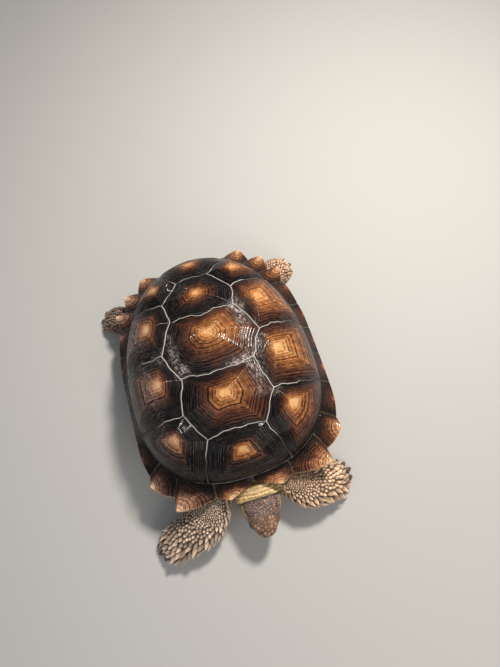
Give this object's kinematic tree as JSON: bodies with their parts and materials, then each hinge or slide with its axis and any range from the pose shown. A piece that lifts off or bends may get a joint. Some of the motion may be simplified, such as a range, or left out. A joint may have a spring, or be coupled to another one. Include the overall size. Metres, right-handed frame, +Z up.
{
  "type": "sulcata tortoise",
  "caption": "Life-size African spurred tortoise resting on its plastron, head out low, forefeet spread and hind feet showing past the flared shell, as a still museum model.",
  "frame": {"origin": "on the floor, under the middle of the whole animal's bounding box", "axes": "+Z up, -Y towards the head, +X towards the animal's left side"},
  "size_m": [0.4364, 0.5624, 0.206],
  "materials": {
    "carapace_horn": "wet-glossy keratin: amber middles, orange-brown and near-black growth rings",
    "marginal_horn": "glossy keratin: dark at the seams, amber to tan towards the flared tips",
    "plastron_horn": "satin keratin, straw yellow with brown growth marks",
    "head_skin": "small brown scales, tan towards the snout",
    "body_skin": "loose wrinkled skin, yellow-olive",
    "limb_skin": "grey-brown skin under tan scales",
    "foot_skin": "grey-brown skin under tan scales",
    "limb_scale": "tan horny scales, paler at their points",
    "claw_horn": "dark brown horn, paler at the tips",
    "beak_horn": "brown horny sheath and skin of the lower jaw",
    "eye": "very dark, wet"
  },
  "bodies": {
    "root": {"vertebral_1": "carapace_horn", "vertebral_2": "carapace_horn", "vertebral_3": "carapace_horn", "vertebral_4": "carapace_horn", "vertebral_5": "carapace_horn", "costal_left_1": "carapace_horn", "costal_right_1": "carapace_horn", "costal_left_2": "carapace_horn", "costal_right_2": "carapace_horn", "costal_left_3": "carapace_horn", "costal_right_3": "carapace_horn", "costal_left_4": "carapace_horn", "costal_right_4": "carapace_horn", "marginal_left_1": "marginal_horn", "marginal_right_1": "marginal_horn", "marginal_left_2": "marginal_horn", "marginal_right_2": "marginal_horn", "marginal_left_3": "marginal_horn", "marginal_right_3": "marginal_horn", "marginal_left_4": "marginal_horn", "marginal_right_4": "marginal_horn", "marginal_left_5": "marginal_horn", "marginal_right_5": "marginal_horn", "marginal_left_6": "marginal_horn", "marginal_right_6": "marginal_horn", "marginal_left_7": "marginal_horn", "marginal_right_7": "marginal_horn", "marginal_left_8": "marginal_horn", "marginal_right_8": "marginal_horn", "marginal_left_9": "marginal_horn", "marginal_right_9": "marginal_horn", "marginal_left_10": "marginal_horn", "marginal_right_10": "marginal_horn", "marginal_left_11": "marginal_horn", "marginal_right_11": "marginal_horn", "supracaudal": "marginal_horn", "plastron_gular": "plastron_horn", "plastron_humeral": "plastron_horn", "plastron_pectoral": "plastron_horn", "plastron_abdominal": "plastron_horn", "plastron_femoral": "plastron_horn", "plastron_anal": "plastron_horn", "trunk": "body_skin", "neck": "body_skin", "tail": "limb_skin", "fore_leg_right": "limb_skin", "fore_foot_right": "foot_skin", "fore_leg_left": "limb_skin", "fore_foot_left": "foot_skin", "hind_leg_right": "limb_skin", "hind_foot_right": "foot_skin", "hind_leg_left": "limb_skin", "hind_foot_left": "foot_skin", "eye_left": "eye", "eye_right": "eye", "head": "head_skin", "lower_jaw": "beak_horn"}
  },
  "joints": []
}
